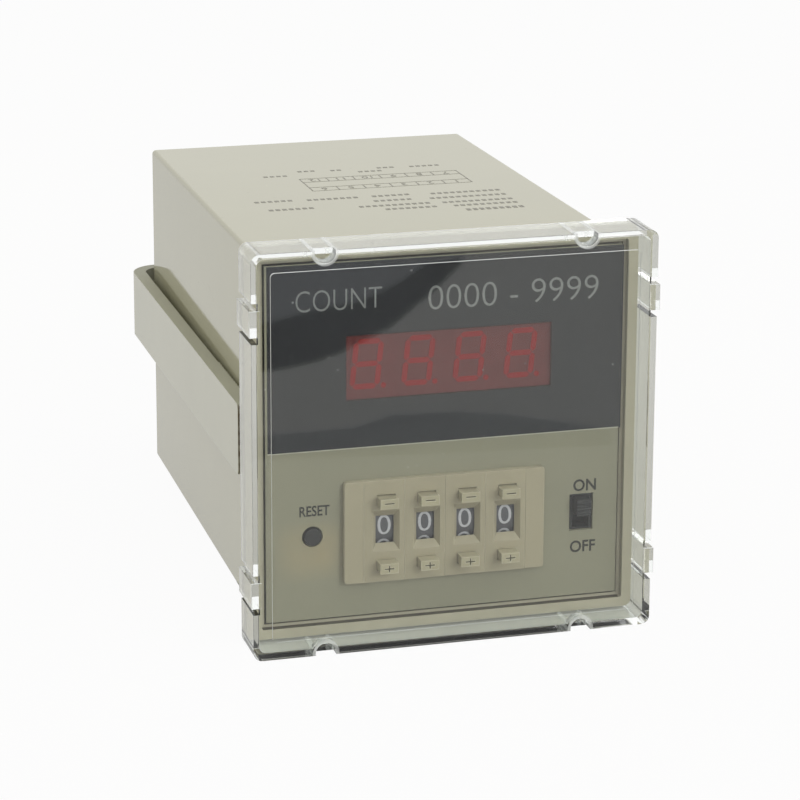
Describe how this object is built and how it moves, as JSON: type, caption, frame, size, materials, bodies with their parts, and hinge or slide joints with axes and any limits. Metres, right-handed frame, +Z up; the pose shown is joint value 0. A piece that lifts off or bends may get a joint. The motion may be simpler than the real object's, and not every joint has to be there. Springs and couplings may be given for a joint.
{
  "type": "panel counter",
  "caption": "Square preset counter for panel mounting: red digit display, push-wheel switches, reset button, slide switch, clear push-on cover and a plastic clamp round the case.",
  "frame": {"origin": "centre of the square panel cut-out, in the plane of the panel's front face, where the flange's rear face seats", "axes": "+X to the right seen from the front, +Y from the front to the back through the panel, +Z up"},
  "size_m": [0.0754, 0.117, 0.0746],
  "materials": {
    "case_plastic": "smooth semi-gloss, lightly scratched",
    "frame_plastic": "fine satin",
    "face_film": "printed matt film",
    "dark_film": "dark grey film, soft gloss",
    "clear_plastic": "clear moulded plastic, polished",
    "clamp_plastic": "smooth satin",
    "display_red": "dark red moulding",
    "segment_red": "unlit diffused segments",
    "board_green": "lacquered board",
    "board_brown": "paper laminate",
    "switch_plastic": "smooth satin",
    "button_plastic": "smooth satin",
    "wheel_plastic": "dark grey with white figures",
    "black_plastic": "fine satin",
    "reset_plastic": "smooth satin",
    "steel": "bright plated",
    "brass": "stamped",
    "core_steel": "stacked laminations",
    "winding_tape": "taped winding",
    "relay_blue": "sealed case",
    "sleeve_blue": "shrink sleeve"
  },
  "bodies": {
    "housing": {"case_shell": "case_plastic", "front_frame": "frame_plastic", "face_overlay": "face_film", "dark_window": "dark_film", "display_block": "display_red", "display_digits": "segment_red", "display_board": "board_green", "logic_board": "board_green", "power_board": "board_brown", "coding_boards": "board_brown", "end_plate_left": "switch_plastic", "end_plate_right": "switch_plastic", "wheel_housing_1": "switch_plastic", "wheel_housing_2": "switch_plastic", "wheel_housing_3": "switch_plastic", "wheel_housing_4": "switch_plastic", "reset_switch": "black_plastic", "slide_switch": "black_plastic", "terminal_block": "black_plastic", "board_header": "black_plastic", "logic_chips": "black_plastic", "board_screws": "steel", "wheel_shaft": "steel", "tie_rods": "steel", "terminal_washers": "steel", "terminal_screws": "steel", "block_screws": "steel", "board_links": "steel", "terminal_contacts": "brass", "transformer_core": "core_steel", "transformer_coil": "winding_tape", "relay": "relay_blue", "capacitors": "sleeve_blue"},
    "cover": {"clear_cover": "clear_plastic"},
    "clamp": {"mounting_clamp": "clamp_plastic"},
    "reset": {"reset_button": "reset_plastic"},
    "slider": {"slide_knob": "black_plastic"},
    "wheel_1": {"digit_wheel_1": "wheel_plastic"},
    "minus_1": {"minus_button_1": "button_plastic"},
    "plus_1": {"plus_button_1": "button_plastic"},
    "wheel_2": {"digit_wheel_2": "wheel_plastic"},
    "minus_2": {"minus_button_2": "button_plastic"},
    "plus_2": {"plus_button_2": "button_plastic"},
    "wheel_3": {"digit_wheel_3": "wheel_plastic"},
    "minus_3": {"minus_button_3": "button_plastic"},
    "plus_3": {"plus_button_3": "button_plastic"},
    "wheel_4": {"digit_wheel_4": "wheel_plastic"},
    "minus_4": {"minus_button_4": "button_plastic"},
    "plus_4": {"plus_button_4": "button_plastic"}
  },
  "joints": [
    {"name": "cover_slide", "type": "slide", "parent": "housing", "child": "cover", "axis": [0, -1, 0], "range_m": [0, 0.015]},
    {"name": "clamp_slide", "type": "slide", "parent": "housing", "child": "clamp", "axis": [0, 1, 0], "range_m": [0, 0.1]},
    {"name": "wheel_1_turn", "type": "hinge", "parent": "housing", "child": "wheel_1", "pos_m": [-0.01153, 0.005, -0.0171], "axis": [1, 0, 0], "continuous": true},
    {"name": "minus_1_press", "type": "slide", "parent": "housing", "child": "minus_1", "axis": [0, 1, 0], "range_m": [0, 0.0014], "stiffness_N_per_m": 400},
    {"name": "plus_1_press", "type": "slide", "parent": "housing", "child": "plus_1", "axis": [0, 1, 0], "range_m": [0, 0.0014], "stiffness_N_per_m": 400},
    {"name": "wheel_2_turn", "type": "hinge", "parent": "housing", "child": "wheel_2", "pos_m": [-0.00391, 0.005, -0.0171], "axis": [1, 0, 0], "continuous": true},
    {"name": "minus_2_press", "type": "slide", "parent": "housing", "child": "minus_2", "axis": [0, 1, 0], "range_m": [0, 0.0014], "stiffness_N_per_m": 400},
    {"name": "plus_2_press", "type": "slide", "parent": "housing", "child": "plus_2", "axis": [0, 1, 0], "range_m": [0, 0.0014], "stiffness_N_per_m": 400},
    {"name": "wheel_3_turn", "type": "hinge", "parent": "housing", "child": "wheel_3", "pos_m": [0.00371, 0.005, -0.0171], "axis": [1, 0, 0], "continuous": true},
    {"name": "minus_3_press", "type": "slide", "parent": "housing", "child": "minus_3", "axis": [0, 1, 0], "range_m": [0, 0.0014], "stiffness_N_per_m": 400},
    {"name": "plus_3_press", "type": "slide", "parent": "housing", "child": "plus_3", "axis": [0, 1, 0], "range_m": [0, 0.0014], "stiffness_N_per_m": 400},
    {"name": "wheel_4_turn", "type": "hinge", "parent": "housing", "child": "wheel_4", "pos_m": [0.01133, 0.005, -0.0171], "axis": [1, 0, 0], "continuous": true},
    {"name": "minus_4_press", "type": "slide", "parent": "housing", "child": "minus_4", "axis": [0, 1, 0], "range_m": [0, 0.0014], "stiffness_N_per_m": 400},
    {"name": "plus_4_press", "type": "slide", "parent": "housing", "child": "plus_4", "axis": [0, 1, 0], "range_m": [0, 0.0014], "stiffness_N_per_m": 400},
    {"name": "reset_press", "type": "slide", "parent": "housing", "child": "reset", "axis": [0, 1, 0], "range_m": [0, 0.0005], "stiffness_N_per_m": 1500},
    {"name": "knob_slide", "type": "slide", "parent": "housing", "child": "slider", "axis": [0, 0, -1], "range_m": [0, 0.0027]}
  ]
}
